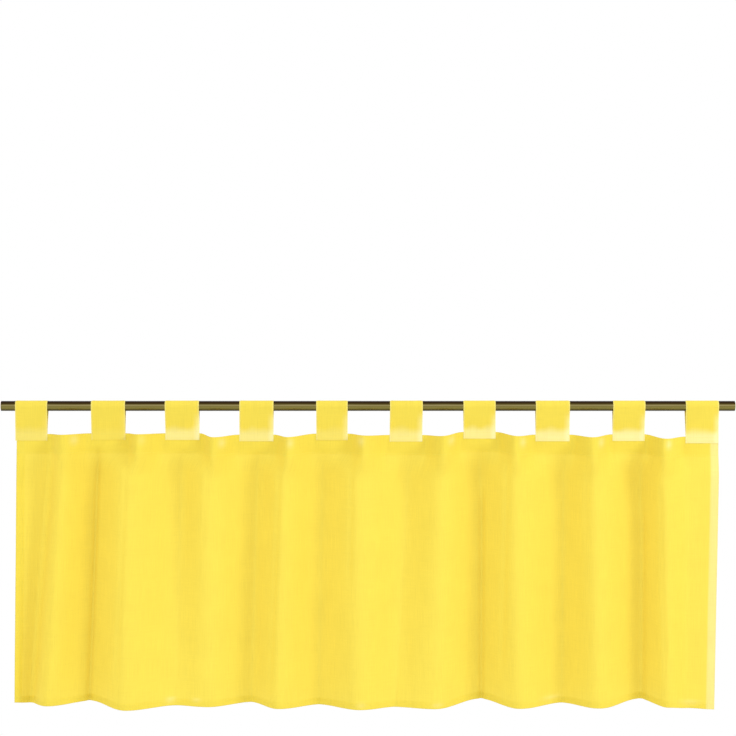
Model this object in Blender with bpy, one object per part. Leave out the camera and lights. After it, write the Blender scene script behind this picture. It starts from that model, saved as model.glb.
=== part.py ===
"""Cafe curtain with its rod: a gathered voile panel that hangs by ten sewn tabs from a plain rod.

Metres, +Z up. The origin is on the rod's axis at mid-length. +X runs along the rod to the right of
somebody who faces the curtain, and the curtain's front looks along -Y.
"""
import math

import bmesh
import bpy
import numpy as np

# Driving dimensions.
ROD_LENGTH = 1.100
ROD_RADIUS = 0.0075
ROD_END_ROUNDING = 0.0008
ROD_SIDES = 32

CLEARANCE = 0.0003          # between neighbouring pieces
PANEL_THICKNESS = 0.0010
TAB_THICKNESS = 0.0012

CUT_WIDTH = 1.350           # the finished panel laid out flat
LAP = 0.010                 # how far each tab is sewn down over the heading
FLAT_MARGIN = 0.002         # flat heading beyond each side of a tab
FOLD_HALF_DEPTH = 0.018     # of a fold of depth 1.0, before its row is stretched to the cut width
FOLDS_FORWARD = 0.004       # how far before the rod the folds' mean lies, before that stretch
FOLD_START = 0.011          # below the heading edge, where the folds begin to form
FOLD_FULL = 0.065           # below the heading edge, where they have their full form
VALLEY_SHARPNESS = 0.25     # 0 gives round valleys, 1 creased ones
HEADING_EDGE_Z = -0.042     # the heading's mean height

# One row for each tab, left to right: the middle of the tab, its width, and the height of the
# heading edge that it carries.
TABS = (
    # centre_x, width, heading_z
    (-0.5048, 0.0480, -0.0420),
    (-0.3893, 0.0510, -0.0410),
    (-0.2783, 0.0510, -0.0410),
    (-0.1673, 0.0510, -0.0430),
    (-0.0540, 0.0470, -0.0415),
    (0.0570, 0.0490, -0.0435),
    (0.1673, 0.0480, -0.0390),
    (0.2768, 0.0510, -0.0430),
    (0.3908, 0.0480, -0.0425),
    (0.5010, 0.0495, -0.0460),
)

# One row for each gap between two tabs: how far across the gap the heading bulges most, and how
# far its edge sags there.
GAPS = (
    # crest_share, sag
    (0.42, 0.0005),
    (0.36, 0.0003),
    (0.36, 0.0040),
    (0.36, 0.0030),
    (0.38, 0.0010),
    (0.52, 0.0025),
    (0.46, 0.0030),
    (0.50, 0.0030),
    (0.40, 0.0040),
)

# One row for each fold line, left to right: where it starts under the heading and where it meets
# the hem, how far it stands forward (+) or back (-) there as shares of FOLD_HALF_DEPTH, and the
# height of the hem on it.
FOLD_LINES = (
    # head_x,  foot_x,  head_depth, foot_depth, hem_z
    (-0.5268, -0.5298, -0.20, -0.10, -0.4445),  # left edge
    (-0.4780, -0.5110, -0.75, -0.90, -0.4475),  # valley 1
    (-0.4500, -0.4770, 0.95, 0.80, -0.4465),
    (-0.4090, -0.4190, -1.10, -1.15, -0.4455),  # valley 2
    (-0.3550, -0.3600, 1.05, 1.05, -0.4520),
    (-0.2800, -0.2880, -0.95, -0.10, -0.4485),  # valley 3
    (-0.2390, -0.2390, 0.95, 0.35, -0.4495),
    (-0.1650, -0.1760, -1.00, -1.00, -0.4470),  # valley 4
    (-0.1240, -0.1330, 1.00, 0.95, -0.4500),
    (-0.0680, -0.0740, -1.00, -0.85, -0.4500),  # valley 5
    (-0.0120, -0.0110, 0.95, 0.95, -0.4515),
    (0.0640, 0.0400, -0.85, -0.15, -0.4510),    # valley 6
    (0.1130, 0.0990, 0.85, 0.60, -0.4515),
    (0.1690, 0.1700, -1.20, -1.30, -0.4430),    # valley 7
    (0.2200, 0.2250, 1.05, 1.10, -0.4490),
    (0.2950, 0.2920, -0.95, -0.90, -0.4475),    # valley 8
    (0.3370, 0.3430, 1.00, 1.00, -0.4490),
    (0.4120, 0.4100, -1.25, -1.30, -0.4430),    # valley 9
    (0.4390, 0.4480, 0.85, 0.70, -0.4490),
    (0.4830, 0.4780, 0.05, 0.05, -0.4520),      # valley 10
    (0.5258, 0.5170, 0.25, 0.30, -0.4530),      # right edge
)

# The panel's grid: columns across each tab and each gap, and rows at these shares of the drop.
TAB_COLUMNS = 4
GAP_COLUMNS = 10
ROW_SHARES = (0.0, 0.028, 0.055, 0.09, 0.13, 0.18, 0.24, 0.33, 0.45, 0.58, 0.72, 0.86, 1.0)
CURVE_SAMPLES = 1600
LOOP_STEPS = 12             # facets of a tab over the rod

VOILE_YELLOW = (0.97, 0.78, 0.08)
TAB_YELLOW = (0.95, 0.76, 0.09)
ANTIQUE_BRASS = (0.16, 0.13, 0.05)


def clear_scene():
    for old in list(bpy.data.objects):
        bpy.data.objects.remove(old, do_unlink=True)


def material(name, colour, roughness, metallic=0.0):
    made = bpy.data.materials.new(name)
    made.use_nodes = True
    shader = made.node_tree.nodes["Principled BSDF"]
    shader.inputs["Base Color"].default_value = (*colour, 1.0)
    shader.inputs["Roughness"].default_value = roughness
    shader.inputs["Metallic"].default_value = metallic
    return made


def add_object(name, mesh_builder, finish):
    mesh = bpy.data.meshes.new(name)
    mesh_builder.to_mesh(mesh)
    mesh_builder.free()
    mesh.materials.append(finish)
    made = bpy.data.objects.new(name, mesh)
    bpy.context.scene.collection.objects.link(made)
    return made


def thicken(sheet, thickness):
    """Gives a sheet its thickness, half to each side."""
    solid = sheet.modifiers.new("thickness", "SOLIDIFY")
    solid.thickness = thickness
    solid.offset = 0.0
    solid.use_even_offset = True


def rod():
    """The rod: a round bar along X with slightly rounded ends."""
    body = bmesh.new()
    bmesh.ops.create_cone(
        body,
        cap_ends=True,
        segments=ROD_SIDES,
        radius1=ROD_RADIUS,
        radius2=ROD_RADIUS,
        depth=ROD_LENGTH,
    )
    rims = [edge for edge in body.edges if edge.calc_length() < ROD_RADIUS]
    bmesh.ops.bevel(
        body,
        geom=rims,
        affect="EDGES",
        offset=ROD_END_ROUNDING,
        segments=2,
        profile=0.5,
        material=-1,
    )
    made = add_object("rod", body, material("antique brass", ANTIQUE_BRASS, 0.35, 1.0))
    made.rotation_euler = (0.0, math.pi / 2, 0.0)
    made.data.shade_smooth()
    made.data.set_sharp_from_angle(angle=math.radians(40))
    return made


def ease(share):
    return 0.5 - 0.5 * np.cos(math.pi * share)


def smoothstep(low, high, value):
    share = np.clip((value - low) / (high - low), 0.0, 1.0)
    return share * share * (3.0 - 2.0 * share)


def tab_edges(tab):
    centre_x, width, _ = tab
    return centre_x - width / 2, centre_x + width / 2


def flat_span(tab):
    """Where the heading lies flat on a tab, from left to right, inside the panel's own edges."""
    left, right = tab_edges(tab)
    return max(left - FLAT_MARGIN, FOLD_LINES[0][0]), min(right + FLAT_MARGIN, FOLD_LINES[-1][0])


def cloth_per_gap():
    """The length of cloth that bulges between two tabs."""
    flat = sum(right - left for left, right in map(flat_span, TABS))
    return (CUT_WIDTH - flat) / len(GAPS)


def gap_bulge(gap, left, right, x):
    """The outline of the heading between two tabs, 1 at its crest and 0 at both tabs."""
    crest = left + gap[0] * (right - left)
    rising = ease(np.clip((x - left) / (crest - left), 0.0, 1.0))
    falling = ease(np.clip((right - x) / (right - crest), 0.0, 1.0))
    return np.where(x < crest, rising, falling)


def curve_length(x, y):
    return float(np.hypot(np.diff(x), np.diff(y)).sum())


def depth_for_length(x, outline, length):
    """How far an outline has to stand out for its curve to have this length."""
    low, high = 0.0, length
    for _ in range(50):
        middle = (low + high) / 2
        if curve_length(x, outline * middle) < length:
            low = middle
        else:
            high = middle
    return (low + high) / 2


def heading_forward(x):
    """How far the heading edge stands forward at x: flat on the tabs, and bulging between them by
    as much as the cloth sewn between two tabs needs."""
    forward = np.zeros_like(x)
    for gap, tab, following in zip(GAPS, TABS, TABS[1:]):
        left, right = flat_span(tab)[1], flat_span(following)[0]
        across = np.linspace(left, right, 200)
        depth = depth_for_length(across, gap_bulge(gap, left, right, across), cloth_per_gap())
        inside = (x > left) & (x < right)
        forward += np.where(inside, depth * gap_bulge(gap, left, right, x), 0.0)
    return forward


def heading_z(x):
    """The height of the heading edge at x: level across each tab, and sagging between two."""
    height = np.full_like(x, TABS[0][2])
    for gap, tab, following in zip(GAPS, TABS, TABS[1:]):
        left, right = tab_edges(tab)[1], tab_edges(following)[0]
        share = np.clip((x - left) / (right - left), 0.0, 1.0)
        height += (following[2] - tab[2]) * ease(share)
        height -= gap[1] * np.where((x > left) & (x < right), gap_bulge(gap, left, right, x), 0.0)
    return height


def between_lines(x, line_x, values, sharpness):
    """Runs through the fold lines' values, round at the crests and sharper in the valleys."""
    result = np.empty_like(x)
    for i in range(len(line_x) - 1):
        inside = (x >= line_x[i]) & (x <= line_x[i + 1])
        share = (x[inside] - line_x[i]) / (line_x[i + 1] - line_x[i])
        rising = values[i + 1] > values[i]
        creased = 1.0 - (1.0 - share) ** 2 if rising else share ** 2
        blend = (1.0 - sharpness) * ease(share) + sharpness * creased
        result[inside] = values[i] + (values[i + 1] - values[i]) * blend
    return result


def row_curve(share):
    """The panel's curve seen from above at this share of its drop: x, y and z along it, and the
    length of cloth from the left edge."""
    columns = [np.array(column) for column in zip(*FOLD_LINES)]
    head_x, foot_x, head_depth, foot_depth, hem_z = columns
    line_x = head_x + (foot_x - head_x) * share
    line_depth = (head_depth + (foot_depth - head_depth) * share) * FOLD_HALF_DEPTH
    x = np.linspace(line_x[0], line_x[-1], CURVE_SAMPLES)
    top_x = np.interp(x, line_x, head_x)
    drop = share * (HEADING_EDGE_Z - hem_z.mean())
    formed = smoothstep(FOLD_START, FOLD_FULL, drop)
    folds = FOLDS_FORWARD + between_lines(x, line_x, line_depth, VALLEY_SHARPNESS)
    forward = (1.0 - formed) * heading_forward(top_x) + formed * folds
    forward *= depth_for_length(x, forward, CUT_WIDTH)
    top = heading_z(top_x)
    hem = between_lines(x, line_x, hem_z, 0.0)
    z = top + (hem - top) * share
    along = np.concatenate(([0.0], np.cumsum(np.hypot(np.diff(x), np.diff(forward)))))
    return x, -forward, z, along * CUT_WIDTH / along[-1]


def column_lengths():
    """Where the panel's columns lie along its cut width: on both ends of each flat part, and
    evenly between them."""
    stops = [0.0]
    for tab in TABS:
        left, right = flat_span(tab)
        spans = [(right - left, TAB_COLUMNS)]
        if tab != TABS[-1]:
            spans.append((cloth_per_gap(), GAP_COLUMNS))
        for length, columns in spans:
            stops += [stops[-1] + length * (k + 1) / columns for k in range(columns)]
    return np.array(stops)


def panel():
    """The panel: a grid that follows the folds, given the cloth's thickness."""
    columns = column_lengths()
    rows = len(ROW_SHARES)
    sheet = bmesh.new()
    bmesh.ops.create_grid(sheet, x_segments=len(columns) - 1, y_segments=rows - 1, size=1.0)
    sheet.verts.ensure_lookup_table()
    for row, share in enumerate(ROW_SHARES):
        x, y, z, along = row_curve(share)
        for column, length in enumerate(columns):
            place = [float(np.interp(length, along, values)) for values in (x, y, z)]
            sheet.verts[(rows - 1 - row) * len(columns) + column].co = place
    made = add_object("panel", sheet, material("yellow voile", VOILE_YELLOW, 0.85))
    made.data.shade_smooth()
    thicken(made, PANEL_THICKNESS)
    return made


def loop_profile(edge_z):
    """A tab seen from its side, as (y, z) points along its middle: up the front from the end of
    its lap, over the rod, and down the back. It runs straight from the heading to the rod."""
    half_step = math.radians(200) / LOOP_STEPS / 2
    radius = (ROD_RADIUS + CLEARANCE) / math.cos(half_step) + TAB_THICKNESS / 2
    leg_y = PANEL_THICKNESS / 2 + CLEARANCE + TAB_THICKNESS / 2
    bend_z = edge_z + TAB_THICKNESS
    to_bend = math.hypot(leg_y, bend_z)
    first = math.tau + math.atan2(bend_z, -leg_y) - math.acos(radius / to_bend)
    last = math.pi - first
    front = [(-leg_y, edge_z - LAP), (-leg_y, bend_z)]
    over = []
    for i in range(LOOP_STEPS + 1):
        angle = first + (last - first) * i / LOOP_STEPS
        over.append((radius * math.cos(angle), radius * math.sin(angle)))
    back = [(-y, z) for y, z in reversed(front)]
    return front + over + back


def tab(number, centre_x, width, edge_z, finish):
    """A tab: its side profile drawn across its width, given the cloth's thickness."""
    strip = bmesh.new()
    left = centre_x - width / 2
    profile = [strip.verts.new((left, y, z)) for y, z in loop_profile(edge_z)]
    edges = [strip.edges.new(pair) for pair in zip(profile, profile[1:])]
    drawn = bmesh.ops.extrude_edge_only(strip, edges=edges)
    moved = [part for part in drawn["geom"] if isinstance(part, bmesh.types.BMVert)]
    bmesh.ops.translate(strip, verts=moved, vec=(width, 0.0, 0.0))
    bmesh.ops.recalc_face_normals(strip, faces=strip.faces)
    made = add_object(f"tab_{number:02d}", strip, finish)
    made.data.shade_smooth()
    made.data.set_sharp_from_angle(angle=math.radians(40))
    thicken(made, TAB_THICKNESS)
    return made


clear_scene()
rod()
panel()
tab_voile = material("yellow voile, doubled", TAB_YELLOW, 0.85)
for tab_number, (tab_x, tab_width, tab_edge_z) in enumerate(TABS, start=1):
    tab(tab_number, tab_x, tab_width, tab_edge_z, tab_voile)
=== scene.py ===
"""Looks of a cafe curtain of yellow voile that hangs by ten sewn tabs from a plain round rod.

Metres, +Z up. The rod runs along X with its axis through the origin, and the curtain's front
looks along -Y. The pieces follow the frame, in the order in which the curtain is put together.
"""
import math

import bmesh
import bpy
import numpy as np
from mathutils import Matrix, Vector, noise


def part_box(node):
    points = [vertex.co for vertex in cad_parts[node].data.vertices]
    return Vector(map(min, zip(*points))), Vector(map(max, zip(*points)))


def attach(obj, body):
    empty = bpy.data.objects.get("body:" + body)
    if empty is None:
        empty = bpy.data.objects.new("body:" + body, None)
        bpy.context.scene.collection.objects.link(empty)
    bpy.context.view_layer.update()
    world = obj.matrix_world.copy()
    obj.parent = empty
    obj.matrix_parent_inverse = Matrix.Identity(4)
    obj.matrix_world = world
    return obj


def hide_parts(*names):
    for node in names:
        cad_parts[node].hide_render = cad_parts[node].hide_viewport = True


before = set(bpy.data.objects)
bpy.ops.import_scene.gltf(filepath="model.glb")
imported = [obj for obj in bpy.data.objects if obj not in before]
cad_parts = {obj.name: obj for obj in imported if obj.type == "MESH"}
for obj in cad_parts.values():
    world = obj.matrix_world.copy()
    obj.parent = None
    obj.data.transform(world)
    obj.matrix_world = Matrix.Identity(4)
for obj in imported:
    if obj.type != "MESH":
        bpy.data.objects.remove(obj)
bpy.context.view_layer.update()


# ---------------------------------------------------------------------------------------------
# The rod: a thin-walled steel tube, plated with brass and darkened to an antique finish, then
# lacquered. It is cut square, its rims are eased, and brackets that aren't built here hold it.
ROD_WALL = 0.0008
ROD_RIM = 0.00025           # how far the rims are eased
ROD_BORE = 0.060            # how deep the open ends are modelled
ROD_SIDES = 64

rod_low, rod_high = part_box("rod")
rod_radius = (rod_high.z - rod_low.z) / 2


def linear(hex_colour):
    """An sRGB hex colour as linear red, green, blue and alpha."""
    channels = [int(hex_colour[i : i + 2], 16) / 255 for i in (1, 3, 5)]
    return [c / 12.92 if c <= 0.04045 else ((c + 0.055) / 1.055) ** 2.4 for c in channels] + [1.0]


def add_node(tree, kind, inputs=None, **settings):
    """Adds a node, sets its properties, and fills or links its inputs by name or number."""
    made = tree.nodes.new(kind)
    for name, value in settings.items():
        setattr(made, name, value)
    for name, value in (inputs or {}).items():
        if isinstance(value, bpy.types.NodeSocket):
            tree.links.new(value, made.inputs[name])
        else:
            made.inputs[name].default_value = value
    return made


def new_material(name):
    """An empty material and its output node."""
    made = bpy.data.materials.new(name)
    made.use_nodes = True
    made.node_tree.nodes.clear()
    return made, made.node_tree.nodes.new("ShaderNodeOutputMaterial")


def place(name, shape, finish, stands_for=()):
    """Makes a bmesh a piece that rides with the object."""
    mesh = bpy.data.meshes.new(name)
    shape.to_mesh(mesh)
    shape.free()
    mesh.materials.append(finish)
    mesh.shade_smooth()
    made = bpy.data.objects.new(name, mesh)
    bpy.context.scene.collection.objects.link(made)
    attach(made, "root")
    if stands_for:
        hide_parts(*stands_for)
    return made


def antique_brass():
    """Brass under a dark brown lacquer, olive, with fine streaks along the rod. Its colour by
    height
    is a painted reflection: a painted highlight stripe just above the middle, painted shade near
    black brown above and below."""
    made, output = new_material("antique brass, lacquered")
    tree = made.node_tree
    place_on_rod = add_node(tree, "ShaderNodeTexCoord").outputs["Object"]
    stretched = add_node(
        tree, "ShaderNodeMapping", {"Vector": place_on_rod, "Scale": (14.0, 420.0, 420.0)}
    ).outputs["Vector"]
    streaks = add_node(
        tree, "ShaderNodeTexNoise", {"Vector": stretched, "Scale": 1.0, "Detail": 4.0}
    ).outputs["Fac"]
    height = add_node(tree, "ShaderNodeSeparateXYZ", {"Vector": place_on_rod}).outputs["Z"]
    uneven = add_node(
        tree, "ShaderNodeMath", {0: streaks, 1: 0.0016, 2: height}, operation="MULTIPLY_ADD"
    ).outputs["Value"]
    painted_reflection = add_node(tree, "ShaderNodeValToRGB", {"Fac": add_node(
        tree,
        "ShaderNodeMapRange",
        {"Value": uneven, "From Min": -rod_radius, "From Max": rod_radius},
    ).outputs["Result"]})
    # How high on the rod's front, 0 its underside and 1 its top, and the colour there: painted
    # shade near both ends, a painted highlight at 0.63.
    stops = (
        (0.00, "#2E2716"),
        (0.16, "#4A4222"),
        (0.34, "#857B41"),
        (0.56, "#7E7440"),
        (0.63, "#A39468"),
        (0.69, "#6F6434"),
        (0.82, "#3A2A12"),
        (1.00, "#2A1C0C"),
    )
    ramp = painted_reflection.color_ramp
    while len(ramp.elements) < len(stops):
        ramp.elements.new(0.5)
    for element, (position, colour) in zip(ramp.elements, stops):
        element.position = position
        element.color = linear(colour)
    dulled = add_node(
        tree,
        "ShaderNodeMapRange",
        {"Value": streaks, "To Min": 0.26, "To Max": 0.44},
    ).outputs["Result"]
    metal = add_node(
        tree,
        "ShaderNodeBsdfPrincipled",
        {"Base Color": painted_reflection.outputs["Color"], "Metallic": 1.0, "Roughness": dulled},
    )
    tree.links.new(metal.outputs["BSDF"], output.inputs["Surface"])
    return made


def tube():
    """The rod's wall from the bottom of one open end to the bottom of the other, turned round X."""
    half = (rod_high.x - rod_low.x) / 2
    inner = rod_radius - ROD_WALL
    one_end = (
        (half - ROD_BORE, 0.0),
        (half - ROD_BORE, inner),
        (half - ROD_RIM, inner),
        (half, inner + ROD_RIM),
        (half, rod_radius - ROD_RIM),
        (half - ROD_RIM, rod_radius),
    )
    outline = [(-x, r) for x, r in one_end] + [(x, r) for x, r in reversed(one_end)]
    shape = bmesh.new()
    points = [shape.verts.new((x, 0.0, r)) for x, r in outline]
    edges = [shape.edges.new(pair) for pair in zip(points, points[1:])]
    bmesh.ops.spin(
        shape,
        geom=points + edges,
        cent=(0.0, 0.0, 0.0),
        axis=(1.0, 0.0, 0.0),
        angle=math.tau,
        steps=ROD_SIDES,
        use_merge=True,
    )
    bmesh.ops.remove_doubles(shape, verts=shape.verts, dist=0.00001)
    bmesh.ops.recalc_face_normals(shape, faces=shape.faces)
    return shape


rod = place("rod_tube", tube(), antique_brass(), ["rod"])
rod.data.set_sharp_from_angle(angle=math.radians(35))


# ---------------------------------------------------------------------------------------------
# The panel: one width of polyester voile, hemmed all round with its edges turned to the back,
# and gathered by the tabs into soft upright folds that lean and fade unevenly.
CUT_WIDTH = 1.350           # between the side hems' folds, laid out flat
HEADING_TURN = 0.030        # how much cloth is turned to the back along each edge
FOOT_TURN = 0.010
SIDE_TURN = 0.012
HEADING_LAYER = 0.0007      # how far behind the front layer a turned layer lies
SIDE_LAYER = 0.0003
FRONT_LAYER = 0.0004        # the front layer stands this far before the cloth's middle
LAP = 0.010                 # how far each tab is sewn down over the heading
FLAT_MARGIN = 0.002         # flat heading beyond each side of a tab
FOLD_HALF_DEPTH = 0.018     # of a fold of depth 1.0, before its row is stretched to the cut width
FOLDS_FORWARD = 0.004       # how far before the rod the folds' mean lies, before that stretch
FOLD_START = 0.011          # below the heading edge, where the folds begin to form
FOLD_FULL = 0.065           # below the heading edge, where they have their full form
VALLEY_SHARPNESS = 0.25     # 0 gives round valleys, 1 creased ones

# How far across each gap between two tabs the heading bulges most, and how far it sags there.
GAPS = (
    # crest_share, sag
    (0.42, 0.0005),
    (0.36, 0.0003),
    (0.36, 0.0040),
    (0.36, 0.0030),
    (0.38, 0.0010),
    (0.52, 0.0025),
    (0.46, 0.0030),
    (0.50, 0.0030),
    (0.40, 0.0040),
)

# Each fold line's place under the heading and at the hem, how far it stands forward (+) or back
# (-) there as shares of FOLD_HALF_DEPTH, and the height of the hem on it.
FOLD_LINES = (
    # head_x,  foot_x,  head_depth, foot_depth, hem_z
    (-0.5268, -0.5298, -0.20, -0.10, -0.4445),  # left edge
    (-0.4780, -0.5110, -0.75, -0.90, -0.4475),  # valley 1
    (-0.4500, -0.4770, 0.95, 0.80, -0.4465),
    (-0.4090, -0.4190, -1.10, -1.15, -0.4455),  # valley 2
    (-0.3550, -0.3600, 1.05, 1.05, -0.4520),
    (-0.2800, -0.2880, -0.95, -0.10, -0.4485),  # valley 3
    (-0.2390, -0.2390, 0.95, 0.35, -0.4495),
    (-0.1650, -0.1760, -1.00, -1.00, -0.4470),  # valley 4
    (-0.1240, -0.1330, 1.00, 0.95, -0.4500),
    (-0.0680, -0.0740, -1.00, -0.85, -0.4500),  # valley 5
    (-0.0120, -0.0110, 0.95, 0.95, -0.4515),
    (0.0640, 0.0400, -0.85, -0.15, -0.4510),    # valley 6
    (0.1130, 0.0990, 0.85, 0.60, -0.4515),
    (0.1690, 0.1700, -1.20, -1.30, -0.4430),    # valley 7
    (0.2200, 0.2250, 1.05, 1.10, -0.4490),
    (0.2950, 0.2920, -0.95, -0.90, -0.4475),    # valley 8
    (0.3370, 0.3430, 1.00, 1.00, -0.4490),
    (0.4120, 0.4100, -1.25, -1.30, -0.4430),    # valley 9
    (0.4390, 0.4480, 0.85, 0.70, -0.4490),
    (0.4830, 0.4780, 0.05, 0.05, -0.4520),      # valley 10
    (0.5258, 0.5170, 0.25, 0.30, -0.4530),      # right edge
)

# Narrow creases on the folds: each one's place under the heading and at the hem, where it starts
# and ends as shares of the drop, how far it is pressed back, and half its width.
CREASES = (
    # head_x,  foot_x, start, end,  depth, half_width
    (-0.4690, -0.5040, 0.03, 1.00, 0.0034, 0.0060),
    (-0.4050, -0.4220, 0.03, 1.00, 0.0046, 0.0034),
    (-0.3570, -0.3760, 0.05, 0.96, 0.0018, 0.0040),
    (-0.2360, -0.2580, 0.03, 0.45, 0.0014, 0.0040),
    (-0.1290, -0.1470, 0.06, 0.98, 0.0018, 0.0038),
    (-0.0230, -0.0310, 0.05, 0.60, 0.0018, 0.0038),
    (0.1730, 0.1720, 0.18, 1.00, 0.0046, 0.0034),
    (0.2090, 0.1990, 0.03, 0.92, 0.0023, 0.0040),
    (0.3270, 0.3230, 0.05, 0.45, 0.0012, 0.0038),
    (0.4170, 0.4150, 0.25, 1.00, 0.0042, 0.0036),
    (0.4350, 0.4440, 0.12, 0.95, 0.0020, 0.0038),
)

CURVE_SAMPLES = 2400
tab_names = sorted(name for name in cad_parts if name.startswith("tab_"))
tab_boxes = [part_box(name) for name in tab_names]
panel_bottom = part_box("panel")[0].z
heading_edges = [low.z + LAP for low, _ in tab_boxes]
heading_mean = sum(heading_edges) / len(heading_edges)


def ease(share):
    return 0.5 - 0.5 * np.cos(math.pi * share)


def smoothstep(low, high, value):
    share = np.clip((value - low) / (high - low), 0.0, 1.0)
    return share * share * (3.0 - 2.0 * share)


def gap_bulge(crest_share, left, right, x):
    """The outline of the heading between two tabs, 1 at its crest and 0 at both tabs."""
    crest = left + crest_share * (right - left)
    rising = ease(np.clip((x - left) / (crest - left), 0.0, 1.0))
    falling = ease(np.clip((right - x) / (right - crest), 0.0, 1.0))
    return np.where(x < crest, rising, falling)


def depth_for_length(x, outline, length):
    """How far an outline has to stand out for its curve to have this length."""
    low, high = 0.0, length
    for _ in range(40):
        middle = (low + high) / 2
        if np.hypot(np.diff(x), np.diff(outline * middle)).sum() < length:
            low = middle
        else:
            high = middle
    return (low + high) / 2


def heading_forward(x):
    """How far the heading edge stands forward at x: flat on the tabs, bulging between them."""
    flat_widths = sum(high.x - low.x for low, high in tab_boxes)
    cloth_per_gap = (CUT_WIDTH - flat_widths) / len(GAPS) - 2 * FLAT_MARGIN
    forward = np.zeros_like(x)
    for (crest_share, _), here, following in zip(GAPS, tab_boxes, tab_boxes[1:]):
        left = here[1].x + FLAT_MARGIN
        right = following[0].x - FLAT_MARGIN
        across = np.linspace(left, right, 200)
        outline = gap_bulge(crest_share, left, right, across)
        depth = depth_for_length(across, outline, cloth_per_gap)
        inside = (x > left) & (x < right)
        forward += np.where(inside, depth * gap_bulge(crest_share, left, right, x), 0.0)
    return forward


def heading_height(x):
    """The height of the heading edge at x: level on each tab, sagging between two."""
    height = np.full_like(x, heading_edges[0])
    rows = zip(GAPS, tab_boxes, tab_boxes[1:], heading_edges, heading_edges[1:])
    for (crest_share, sag), here, following, edge, next_edge in rows:
        left, right = here[1].x, following[0].x
        inside = (x > left) & (x < right)
        height += (next_edge - edge) * ease(np.clip((x - left) / (right - left), 0.0, 1.0))
        height -= sag * np.where(inside, gap_bulge(crest_share, left, right, x), 0.0)
    return height


def between_lines(x, line_x, values, sharpness):
    """Runs through the fold lines' values, round at the crests and sharper in the valleys."""
    result = np.empty_like(x)
    for i in range(len(line_x) - 1):
        inside = (x >= line_x[i]) & (x <= line_x[i + 1])
        share = (x[inside] - line_x[i]) / (line_x[i + 1] - line_x[i])
        creased = 1.0 - (1.0 - share) ** 2 if values[i + 1] > values[i] else share ** 2
        blend = (1.0 - sharpness) * ease(share) + sharpness * creased
        result[inside] = values[i] + (values[i + 1] - values[i]) * blend
    return result


def creases(x, share):
    """How far the narrow creases press the cloth back along x at this share of the drop."""
    pressed = np.zeros_like(x)
    for head_x, foot_x, start, end, depth, half_width in CREASES:
        strength = smoothstep(start, start + 0.10, share)
        if end < 1.0:
            strength *= 1.0 - smoothstep(end - 0.12, end, share)
        middle = head_x + (foot_x - head_x) * share
        pressed += depth * strength * np.exp(-(((x - middle) / half_width) ** 2))
    return pressed


def row_curve(share):
    """The panel's curve seen from above at this share of its drop: x, y and z along it, and the
    length of cloth from the left edge."""
    columns = [np.array(column) for column in zip(*FOLD_LINES)]
    head_x, foot_x, head_depth, foot_depth, hem_z = columns
    line_x = head_x + (foot_x - head_x) * share
    line_depth = (head_depth + (foot_depth - head_depth) * share) * FOLD_HALF_DEPTH
    x = np.linspace(line_x[0], line_x[-1], CURVE_SAMPLES)
    top_x = np.interp(x, line_x, head_x)
    drop = share * (heading_mean - hem_z.mean())
    formed = smoothstep(FOLD_START, FOLD_FULL, drop)
    folds = FOLDS_FORWARD + between_lines(x, line_x, line_depth, VALLEY_SHARPNESS)
    forward = (1.0 - formed) * heading_forward(top_x) + formed * folds
    forward *= depth_for_length(x, forward, CUT_WIDTH)
    forward -= creases(x, share)
    top = heading_height(top_x)
    z = top + (between_lines(x, line_x, hem_z, 0.0) - top) * share
    along = np.concatenate(([0.0], np.cumsum(np.hypot(np.diff(x), np.diff(forward)))))
    return x, -forward, z, along * CUT_WIDTH / along[-1]


# The hanging cloth is worked out once on an even net of lengths along its width and its drop.
NET_COLUMNS = 901
NET_ROWS = 150
DROP = heading_mean - panel_bottom
RUMPLE = 0.0007             # how far soft unevenness moves the cloth
net_u = np.linspace(0.0, CUT_WIDTH, NET_COLUMNS)
net_v = np.linspace(0.0, DROP, NET_ROWS)


def hanging_net():
    net = np.empty((NET_ROWS, NET_COLUMNS, 3))
    for row, length in enumerate(net_v):
        x, y, z, along = row_curve(length / DROP)
        for axis, values in enumerate((x, y, z)):
            net[row, :, axis] = np.interp(net_u, along, values)
        loose = float(smoothstep(0.012, 0.07, length))
        for column, width in enumerate(net_u):
            broad = noise.noise(Vector((width / 0.022, length / 0.110, 1.7)))
            fine = noise.noise(Vector((width / 0.009, length / 0.045, 8.3)))
            net[row, column, 1] += RUMPLE * loose * (broad + 0.35 * fine)
    return net


net = hanging_net()
along_u = np.gradient(net, net_u, axis=1)
along_v = np.gradient(net, net_v, axis=0)
net_normal = np.cross(along_v, along_u)
net_normal /= np.linalg.norm(net_normal, axis=2, keepdims=True)


def sample(field, u, v):
    """Reads the net at lengths u along the width and v down the drop."""
    column = np.clip(np.asarray(u) / CUT_WIDTH * (NET_COLUMNS - 1), 0, NET_COLUMNS - 1.001)
    row = np.clip(np.asarray(v) / DROP * (NET_ROWS - 1), 0, NET_ROWS - 1.001)
    i, j = row.astype(int), column.astype(int)
    down, across = (row - i)[..., None], (column - j)[..., None]
    upper = field[i, j] * (1 - across) + field[i, j + 1] * across
    lower = field[i + 1, j] * (1 - across) + field[i + 1, j + 1] * across
    return upper * (1 - down) + lower * down


def turned(length, whole):
    """A length past a folded edge, read back from that edge, and how far round the turn it is."""
    past = np.maximum(-length, length - whole)
    return np.where(length < 0, -length, np.where(length > whole, 2 * whole - length, length)), past


def cloth_point(u, v):
    """The cloth's place at a cut length u across and v down, its turned edges lying behind."""
    flat_u, past_side = turned(u, CUT_WIDTH)
    flat_v, past_end = turned(v, DROP)
    back = SIDE_LAYER * smoothstep(-0.0004, 0.0008, past_side)
    back = back + HEADING_LAYER * smoothstep(-0.0004, 0.0008, past_end)
    middle = sample(net, flat_u, flat_v)
    outward = sample(net_normal, flat_u, flat_v)
    return middle + outward * (FRONT_LAYER - back)[..., None]


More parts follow.
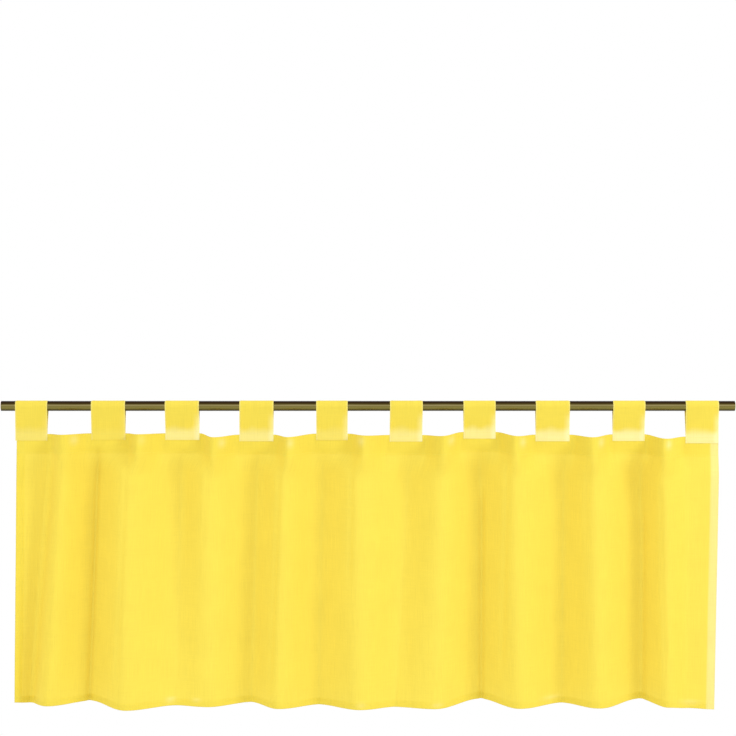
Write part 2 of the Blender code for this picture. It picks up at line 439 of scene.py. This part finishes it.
def stations(whole, turn_before, turn_after, step):
    """Lengths across a piece of cloth with both edges folded over, closer together at the folds
    and on both sides of the line where each turned layer ends."""
    inner = 0.0012
    middle = np.linspace(inner, whole - inner, round((whole - 2 * inner) / step) + 1)
    before = np.linspace(-turn_before, -inner, max(2, round(turn_before / step)) + 1)
    after = np.linspace(whole + inner, whole + turn_after, max(2, round(turn_after / step)) + 1)
    fold = np.array((-0.0006, 0.0, 0.0006))
    layer_end = np.array((-0.0002, 0.0002))
    ends = (turn_before + layer_end, whole - turn_after + layer_end)
    rows = (before, fold, middle, whole + fold, after, *ends)
    return np.unique(np.concatenate(rows).round(6))


# Painted highlights: light spots painted on the heading beside the tabs and where the hem turns
# towards the light. How far along the rod, how far below the heading edge, half the size of
# the light spot, and how strong it is.
LIGHT_SPOTS = (
    # x,      below,  half_x, half_z, strength
    (-0.4380, 0.0090, 0.0050, 0.0060, 0.34),
    (-0.3360, 0.0090, 0.0050, 0.0060, 0.16),
    (-0.2175, 0.0095, 0.0050, 0.0060, 0.36),
    (-0.1155, 0.0095, 0.0050, 0.0060, 0.34),
    (-0.0105, 0.0090, 0.0050, 0.0060, 0.30),
    (0.1245, 0.0090, 0.0050, 0.0060, 0.34),
    (0.2310, 0.0095, 0.0050, 0.0060, 0.40),
    (0.3480, 0.0095, 0.0050, 0.0060, 0.40),
    (0.4470, 0.0090, 0.0050, 0.0060, 0.44),
    (-0.2955, 0.4020, 0.0070, 0.0035, 0.35),
    (-0.2565, 0.4010, 0.0060, 0.0030, 0.20),
    (-0.0105, 0.4040, 0.0070, 0.0035, 0.22),
    (0.1035, 0.4050, 0.0080, 0.0035, 0.25),
    (0.2745, 0.4010, 0.0130, 0.0035, 0.25),
    (0.4815, 0.4020, 0.0150, 0.0035, 0.22),
)
RIGHT_HEM_PAINTED_HIGHLIGHT = 0.46       # painted highlight where the right side hem catches the light
COLUMN_STEP = 0.0024
ROW_STEP = 0.0046


def panel_painted_highlight(point, u, v):
    """How strong the painted highlight is at a point: the painted light spots and the right side
    hem.
    """
    pale = 0.0
    for x, below, half_x, half_z, strength in LIGHT_SPOTS:
        across = (point[0] - x) / half_x
        down = (v - below) / half_z
        pale += strength * math.exp(-(across * across + down * down))
    hem = float(smoothstep(CUT_WIDTH - SIDE_TURN - 0.0015, CUT_WIDTH - SIDE_TURN + 0.0015, u))
    pale += RIGHT_HEM_PAINTED_HIGHLIGHT * hem
    return min(pale, 1.0)


def gathered_panel():
    """The whole panel with its turned edges, as one sheet laid in its folds."""
    across = stations(CUT_WIDTH, SIDE_TURN, SIDE_TURN, COLUMN_STEP)
    down = stations(DROP, HEADING_TURN, FOOT_TURN, ROW_STEP)
    whole_u, whole_v = np.meshgrid(across, down)
    points = cloth_point(whole_u, whole_v)
    shape = bmesh.new()
    bmesh.ops.create_grid(
        shape, x_segments=len(across) - 1, y_segments=len(down) - 1, size=0.5
    )
    pale = shape.verts.layers.float.new("pale")
    doubled = shape.verts.layers.float.new("doubled")
    laid_flat = shape.loops.layers.uv.new("cloth")
    where = {}
    for vertex in shape.verts:
        i = round((vertex.co.x + 0.5) * (len(across) - 1))
        j = round((0.5 - vertex.co.y) * (len(down) - 1))
        in_hem = (
            min(across[i], CUT_WIDTH - across[i]) < SIDE_TURN
            or down[j] < HEADING_TURN
            or DROP - down[j] < FOOT_TURN
        )
        vertex[doubled] = 1.0 if in_hem else 0.0
        where[vertex] = (across[i], down[j])
        vertex.co = points[j, i]
        # The pale attribute carries the painted highlights.
        vertex[pale] = panel_painted_highlight(points[j, i], across[i], down[j])
    for face in shape.faces:
        for loop in face.loops:
            u, v = where[loop.vert]
            loop[laid_flat].uv = (u, DROP - v)
    return shape


def voile(name, base, passing, pale, thread_gap):
    """Polyester voile: a matt lemon yellow that glows where light comes through it, deeper and
    more orange in its folds, with a fine plain weave, uneven threads and a dry, faint sheen,
    whitened towards the pale colour by painted highlights."""
    made, output = new_material(name)
    tree = made.node_tree
    flat = add_node(tree, "ShaderNodeUVMap", uv_map="cloth").outputs["UV"]
    # The pale attribute holds painted highlights, which whiten both colours towards the pale
    # colour.
    lighter = add_node(tree, "ShaderNodeAttribute", attribute_name="pale").outputs["Fac"]
    # Real voile has a thread each 0.4 mm. Its threads are drawn three times as coarse here, so
    # that they can be made out.
    threads = []
    for direction in ("X", "Y"):
        threads.append(add_node(
            tree,
            "ShaderNodeTexWave",
            {
                "Vector": flat,
                "Scale": math.tau / 20 / thread_gap,
                "Distortion": 1.6,
                "Detail": 2.0,
                "Detail Scale": 0.6,
            },
            bands_direction=direction,
        ).outputs["Fac"])
    weave = add_node(
        tree, "ShaderNodeMath", {0: threads[0], 1: threads[1]}, operation="ADD"
    ).outputs["Value"]
    # Thicker threads make faint streaks both ways, stronger down the cloth than across it.
    streaks = []
    for scale in ((900.0, 26.0, 1.0), (30.0, 700.0, 1.0)):
        stretched = add_node(
            tree, "ShaderNodeMapping", {"Vector": flat, "Scale": scale}
        ).outputs["Vector"]
        streaks.append(add_node(
            tree, "ShaderNodeTexNoise", {"Vector": stretched, "Scale": 1.0, "Detail": 3.0}
        ).outputs["Fac"])
    uneven = add_node(
        tree, "ShaderNodeMath", {0: streaks[1], 1: 0.5, 2: streaks[0]}, operation="MULTIPLY_ADD"
    ).outputs["Value"]
    # Soft lighter clouds where the cloth was pressed.
    clouds = add_node(
        tree, "ShaderNodeTexNoise", {"Vector": flat, "Scale": 24.0, "Detail": 3.0}
    ).outputs["Fac"]
    shade = add_node(
        tree, "ShaderNodeMapRange", {"Value": uneven, "From Min": 0.55, "From Max": 0.95,
                                     "To Min": 0.965, "To Max": 1.03}
    ).outputs["Result"]
    cloud_shade = add_node(
        tree, "ShaderNodeMapRange", {"Value": clouds, "From Min": 0.3, "From Max": 0.7,
                                     "To Min": 0.985, "To Max": 1.015}
    ).outputs["Result"]
    both = add_node(
        tree, "ShaderNodeMath", {0: shade, 1: cloud_shade}, operation="MULTIPLY"
    ).outputs["Value"]
    colours = []
    for plain in (base, passing):
        tinted = add_node(
            tree,
            "ShaderNodeMix",
            {"Factor": lighter, 6: linear(plain), 7: linear(pale)},
            data_type="RGBA",
        ).outputs[2]
        colours.append(add_node(
            tree, "ShaderNodeVectorMath", {0: tinted, "Scale": both}, operation="SCALE"
        ).outputs["Vector"])
    relief = add_node(
        tree, "ShaderNodeBump", {"Height": weave, "Strength": 0.25, "Distance": 0.00008}
    ).outputs["Normal"]
    facing = add_node(
        tree,
        "ShaderNodeBsdfPrincipled",
        {
            "Base Color": colours[0],
            "Roughness": 0.82,
            "Specular IOR Level": 0.25,
            "Sheen Weight": 0.06,
            "Sheen Roughness": 0.5,
            "Normal": relief,
        },
    ).outputs["BSDF"]
    through = add_node(
        tree, "ShaderNodeBsdfTranslucent", {"Color": colours[1], "Normal": relief}
    ).outputs["BSDF"]
    # Less light comes through where the cloth lies double, so it looks the same there.
    doubled = add_node(tree, "ShaderNodeAttribute", attribute_name="doubled").outputs["Fac"]
    share = add_node(
        tree, "ShaderNodeMapRange", {"Value": doubled, "To Min": 0.28, "To Max": 0.15}
    ).outputs["Result"]
    mixed = add_node(tree, "ShaderNodeMixShader", {0: share, 1: facing, 2: through})
    tree.links.new(mixed.outputs["Shader"], output.inputs["Surface"])
    return made


panel_voile = voile("polyester voile, plain woven", "#F4DF50", "#F4D860", "#FFF8B8", 0.0012)
panel = place("gathered_panel", gathered_panel(), panel_voile, ["panel"])


# ---------------------------------------------------------------------------------------------
# The tabs: ten strips of the same voile, each sewn double into a flat sleeve, looped over the
# rod and caught down on the front and the back of the heading, 10 mm over its edge.
TAB_THICKNESS = 0.0005      # two layers, thicker along both sides where their edges are folded in
TAB_RIM = 0.00012
RIM_WIDTH = 0.007
EDGE_PAINTED_HIGHLIGHT = 0.35            # strength of the painted highlight along both folded sides
CURL_PAINTED_HIGHLIGHT = 0.55            # strength of the painted highlight on a right side that curls back by CURL_FULL
CURL_FULL = 0.001
FOOT_REACH = 0.013          # how far up from the heading edge the painted highlight on the foot fades out
FOOT_UNEVEN = 0.008         # how much that height varies across a tab
SEWN_GAP = 0.0001           # between a tab and the heading or the rod
LOOP_STATIONS = 84
SECTION_STATIONS = 26

# The painted highlight on each tab's sewn-down foot, where its layers and the heading's lie on one
# another, how far its right side curls back, and how many metres its loop leans to the right at the
# rod.
TAB_LOOKS = (
    # foot_painted_highlight, curl,  lean
    (0.20, 0.0002, 0.0006),
    (0.05, 0.0002, 0.0000),
    (0.50, 0.0010, -0.0004),
    (0.45, 0.0010, 0.0003),
    (0.15, 0.0008, 0.0000),
    (0.45, 0.0010, 0.0005),
    (0.55, 0.0012, -0.0003),
    (0.65, 0.0012, 0.0000),
    (0.75, 0.0014, 0.0004),
    (0.65, 0.0012, -0.0004),
)


def loop_line(edge):
    """A tab seen from its side: evenly spaced (y, z) points up the front, over the rod and down
    the back, with the direction that faces away from the loop at each."""
    radius = rod_radius + SEWN_GAP + TAB_THICKNESS / 2
    front_y = -(FRONT_LAYER + SEWN_GAP + TAB_THICKNESS / 2)
    back_y = HEADING_LAYER - FRONT_LAYER + SEWN_GAP + TAB_THICKNESS / 2
    ends = []
    for leg_y in (front_y, back_y):
        bend = edge + 0.0015
        to_rod = math.acos(radius / math.hypot(leg_y, bend))
        ends.append((leg_y, bend, math.tau + math.atan2(bend, -abs(leg_y)) - to_rod))
    path = [(front_y, edge - LAP), (front_y, edge - LAP / 2), (front_y, edge), ends[0][:2]]
    first = ends[0][2]
    last = math.pi - ends[1][2]
    for angle in np.linspace(first, last, 40):
        path.append((radius * math.cos(angle), radius * math.sin(angle)))
    path += [ends[1][:2], (back_y, edge), (back_y, edge - LAP / 2), (back_y, edge - LAP)]
    path = np.array(path)
    along = np.concatenate(([0.0], np.cumsum(np.hypot(*np.diff(path, axis=0).T))))
    even = np.linspace(0.0, along[-1], LOOP_STATIONS)
    line = np.column_stack([np.interp(even, along, path[:, k]) for k in (0, 1)])
    ahead = np.gradient(line, even, axis=0)
    ahead /= np.linalg.norm(ahead, axis=1, keepdims=True)
    return even, line, np.column_stack((-ahead[:, 1], ahead[:, 0]))


def sleeve_section(width):
    """A tab's cross-section as (across, outward) points, once round from its left edge."""
    across = np.linspace(-1.0, 1.0, SECTION_STATIONS // 2 + 1)
    across = np.sin(across * math.pi / 2) * 0.4 + across * 0.6
    from_side = (1.0 - np.abs(across)) * width / 2
    rounding = np.sqrt(np.clip(from_side / 0.0006, 0.0, 1.0))
    rim = TAB_RIM * np.exp(-(((from_side - RIM_WIDTH / 2) / (RIM_WIDTH / 2)) ** 2))
    half = (TAB_THICKNESS / 2 + rim) * rounding
    outer = np.column_stack((across * width / 2, half))
    inner = np.column_stack((across * width / 2, -half))
    return np.concatenate((outer, inner[-2:0:-1]))


def on_sleeve(loop, low, high, looks, number, j, across, thick):
    """A point of a tab: at station j of its loop, across from its middle, thick out from it."""
    even, line, outward = loop
    _, curl, lean = looks
    (y, z), (out_y, out_z) = line[j], outward[j]
    half, edge = (high.x - low.x) / 2, low.z + LAP
    free = float(smoothstep(0.001, 0.012, z - edge) * smoothstep(0.0, 0.012, -0.004 - z))
    near_right = float(smoothstep(half - 0.010, half, across))
    ripple = noise.noise(Vector((across / 0.012, even[j] / 0.022, 3.1 * number)))
    # The foot is pressed thin under its seam.
    thick *= 0.35 + 0.65 * float(smoothstep(0.0, 0.0022, min(even[j], even[-1] - even[j])))
    push = thick - curl * free * near_right + 0.00035 * free * ripple
    x = (low.x + high.x) / 2 + across + lean * float(smoothstep(edge, 0.0, z))
    return Vector((x, y + out_y * push, z + out_z * push))


def sleeve(low, high, looks, number):
    """One tab: its flat section carried along its loop, open ends closed by folding them in."""
    foot_painted_highlight, curl, _ = looks
    width = high.x - low.x
    middle_x = (low.x + high.x) / 2
    edge = low.z + LAP
    loop = loop_line(edge)
    even, line, _ = loop
    section = sleeve_section(width)
    around = len(section)
    shape = bmesh.new()
    bmesh.ops.create_grid(shape, x_segments=around, y_segments=len(even) - 1, size=0.5)
    pale = shape.verts.layers.float.new("pale")
    doubled = shape.verts.layers.float.new("doubled")
    laid_flat = shape.loops.layers.uv.new("cloth")
    where = {}
    for vertex in shape.verts:
        vertex[doubled] = 1.0
        i = round((vertex.co.x + 0.5) * around)
        j = round((vertex.co.y + 0.5) * (len(even) - 1))
        across, thick = section[i % around]
        z = line[j][1]
        up = z - edge
        near_right = float(smoothstep(width / 2 - 0.010, width / 2, across))
        vertex.co = on_sleeve(loop, low, high, looks, number, j, across, thick)
        where[vertex] = (middle_x + across, even[j])
        # Painted highlights: on the foot, on a right side that curls back below the rod, and along
        # both folded sides.
        uneven = noise.noise(Vector((across / 0.014, 5.7 * number, 0.3)))
        foot = 1.0 - float(smoothstep(0.0, FOOT_REACH + FOOT_UNEVEN * uneven, up))
        below_rod = float(smoothstep(0.0, 0.02, -0.006 - z))
        curl_painted_highlight = CURL_PAINTED_HIGHLIGHT * near_right * below_rod * min(1.0, curl / CURL_FULL)
        near_side = float(smoothstep(width / 2 - 0.0014, width / 2 - 0.0004, abs(across)))
        vertex[pale] = min(1.0, foot_painted_highlight * foot + curl_painted_highlight + EDGE_PAINTED_HIGHLIGHT * near_side)
    for face in shape.faces:
        for corner in face.loops:
            corner[laid_flat].uv = where[corner.vert]
    bmesh.ops.remove_doubles(shape, verts=shape.verts, dist=0.000001)
    bmesh.ops.holes_fill(shape, edges=[side for side in shape.edges if side.is_boundary])
    bmesh.ops.recalc_face_normals(shape, faces=shape.faces)
    return shape


tab_voile = voile("polyester voile, sewn double", "#F5DF52", "#F4DA62", "#FFF8B8", 0.0012)
tab_rows = zip(tab_names, tab_boxes, TAB_LOOKS)
for number, (node, (low, high), looks) in enumerate(tab_rows, start=1):
    shape = sleeve(low, high, looks, number)
    made = place(f"tab_sleeve_{number:02d}", shape, tab_voile, [node])
    made.data.set_sharp_from_angle(angle=math.radians(50))
    loop_length = loop_line(low.z + LAP)[0][-1]


# ---------------------------------------------------------------------------------------------
# The seams: lockstitch in fine yellow polyester thread, a little lighter than the cloth, along
# the hems, down both sides of each tab, and twice across each tab's foot.
STITCH_LENGTH = 0.0022
STITCH_GAP = 0.0008
THREAD_WIDTH = 0.00034
SEAM_INSET = 0.0020         # from the edge that a seam holds down
STITCHES_AT_ONCE = 40


def sew(shape, points, outward):
    """Lays stitches end to end along a line, each a short rounded thread pulled into the cloth."""
    points, outward = np.asarray(points), np.asarray(outward)
    lengths = np.linalg.norm(np.diff(points, axis=0), axis=1)
    along = np.concatenate(([0.0], np.cumsum(lengths)))
    starts = np.arange(0.0, along[-1] - STITCH_LENGTH, STITCH_LENGTH + STITCH_GAP)
    # Short runs are made one by one and then joined, because a small mesh is quicker to add to.
    for first in range(0, len(starts), STITCHES_AT_ONCE):
        run_shape = bmesh.new()
        for start in starts[first : first + STITCHES_AT_ONCE]:
            ends = [
                Vector([np.interp(reach, along, points[:, k]) for k in range(3)])
                for reach in (start, start + STITCH_LENGTH)
            ]
            normal = Vector([np.interp(start, along, outward[:, k]) for k in range(3)])
            normal.normalize()
            run = (ends[1] - ends[0]) / 2
            side = normal.cross(run).normalized() * THREAD_WIDTH / 2
            matrix = Matrix((run, side, normal * THREAD_WIDTH / 2)).transposed().to_4x4()
            matrix.translation = (ends[0] + ends[1]) / 2
            bmesh.ops.create_uvsphere(
                run_shape, u_segments=6, v_segments=4, radius=1.0, matrix=matrix
            )
        run_mesh = bpy.data.meshes.new("stitches")
        run_shape.to_mesh(run_mesh)
        run_shape.free()
        shape.from_mesh(run_mesh)
        bpy.data.meshes.remove(run_mesh)


def thread():
    """Spun polyester thread: lighter than the cloth, matt, with a twist that breaks the light."""
    made, output = new_material("polyester sewing thread")
    tree = made.node_tree
    where_sewn = add_node(tree, "ShaderNodeTexCoord").outputs["Object"]
    twist = add_node(
        tree, "ShaderNodeTexNoise", {"Vector": where_sewn, "Scale": 2500.0}
    ).outputs["Fac"]
    tone = add_node(
        tree,
        "ShaderNodeMix",
        {"Factor": twist, 6: linear("#EBDD4A"), 7: linear("#F6EE78")},
        data_type="RGBA",
    ).outputs[2]
    spun = add_node(
        tree,
        "ShaderNodeBsdfPrincipled",
        {"Base Color": tone, "Roughness": 0.7, "Sheen Weight": 0.1},
    )
    tree.links.new(spun.outputs["BSDF"], output.inputs["Surface"])
    return made


sewing_thread = thread()
panel_seams = bmesh.new()
whole_width = np.linspace(0.0, CUT_WIDTH, 700)
whole_drop = np.linspace(0.0, DROP, 160)
seam_lines = (
    (whole_width, HEADING_TURN - SEAM_INSET),
    (whole_width, DROP - FOOT_TURN + SEAM_INSET),
    (SIDE_TURN - SEAM_INSET, whole_drop),
    (CUT_WIDTH - SIDE_TURN + SEAM_INSET, whole_drop),
)
for seam_u, seam_v in seam_lines:
    line_u, line_v = np.broadcast_arrays(seam_u, seam_v)
    sew(panel_seams, cloth_point(line_u, line_v), sample(net_normal, line_u, line_v))
place("panel_seams", panel_seams, sewing_thread)

tab_seams = bmesh.new()
for number, ((low, high), looks) in enumerate(zip(tab_boxes, TAB_LOOKS), start=1):
    loop = loop_line(low.z + LAP)
    even, line, outward = loop
    half = (high.x - low.x) / 2
    for side in (-1.0, 1.0):
        across = side * (half - SEAM_INSET)
        points = [
            on_sleeve(loop, low, high, looks, number, j, across, TAB_THICKNESS / 2 + TAB_RIM)
            for j in range(len(even))
        ]
        sew(tab_seams, points, [(0.0, y, z) for y, z in outward])
    for above in (SEAM_INSET, LAP - SEAM_INSET):
        j = int(np.searchsorted(even, above))
        points = [
            on_sleeve(loop, low, high, looks, number, j, across, TAB_THICKNESS / 2)
            for across in np.linspace(-half + SEAM_INSET, half - SEAM_INSET, 20)
        ]
        sew(tab_seams, points, [(0.0, *outward[j])] * 20)
place("tab_seams", tab_seams, sewing_thread)


# ---------------------------------------------------------------------------------------------
# The setting: a pale floor well below the hem, even daylight all round as before a white wall,
# a large soft key lamp high on the right in front, which models the folds, and a weaker fill lamp
# on the left, which keeps the folds' shaded sides light.
EYE = Vector((0.0, -3.0, 0.0569))
FRAME_WIDTH = 1.104         # what the camera sees across at the curtain
FLOOR_Z = -1.10
FLOOR_SIZE = 6.0
LAMPS_AIM = Vector((0.0, 0.0, -0.2))
LAMPS = (
    # name, place, width, watts
    ("key", Vector((2.75, -1.92, 1.78)), 1.3, 42.0),
    ("fill", Vector((-2.60, -2.20, 1.00)), 1.6, 12.5),
)


def pale_floor():
    """A matt pale grey floor with the faintest unevenness."""
    made, output = new_material("pale matt floor")
    tree = made.node_tree
    flat = add_node(tree, "ShaderNodeTexCoord").outputs["Object"]
    cloudy = add_node(tree, "ShaderNodeTexNoise", {"Vector": flat, "Scale": 1.5}).outputs["Fac"]
    dull = add_node(
        tree, "ShaderNodeMapRange", {"Value": cloudy, "To Min": 0.75, "To Max": 0.9}
    ).outputs["Result"]
    matt = add_node(
        tree, "ShaderNodeBsdfPrincipled", {"Base Color": linear("#EEEEEC"), "Roughness": dull}
    )
    tree.links.new(matt.outputs["BSDF"], output.inputs["Surface"])
    return made


floor_shape = bmesh.new()
bmesh.ops.create_grid(floor_shape, x_segments=1, y_segments=1, size=FLOOR_SIZE / 2)
bmesh.ops.translate(floor_shape, verts=floor_shape.verts, vec=(0.0, 0.0, FLOOR_Z))
floor_mesh = bpy.data.meshes.new("floor")
floor_shape.to_mesh(floor_mesh)
floor_shape.free()
floor_mesh.materials.append(pale_floor())
floor = bpy.data.objects.new("floor", floor_mesh)
bpy.context.scene.collection.objects.link(floor)

for name, lamp_place, width, watts in LAMPS:
    light = bpy.data.lights.new(name, "AREA")
    light.shape = "DISK"
    light.size = width
    light.energy = watts
    lamp = bpy.data.objects.new(name, light)
    lamp.location = lamp_place
    lamp.rotation_euler = (LAMPS_AIM - lamp_place).to_track_quat("-Z", "Y").to_euler()
    bpy.context.scene.collection.objects.link(lamp)

world = bpy.data.worlds.new("even daylight")
world.use_nodes = True
world.node_tree.nodes["Background"].inputs["Color"].default_value = (1.0, 1.0, 1.0, 1.0)
world.node_tree.nodes["Background"].inputs["Strength"].default_value = 1.0
bpy.context.scene.world = world

camera = bpy.data.cameras.new("camera")
camera.sensor_width = 36.0
camera.lens = camera.sensor_width * -EYE.y / FRAME_WIDTH
camera_object = bpy.data.objects.new("camera", camera)
camera_object.location = EYE
camera_object.rotation_euler = (math.pi / 2, 0.0, 0.0)
bpy.context.scene.collection.objects.link(camera_object)
bpy.context.scene.camera = camera_object
bpy.context.scene.view_settings.view_transform = "Standard"
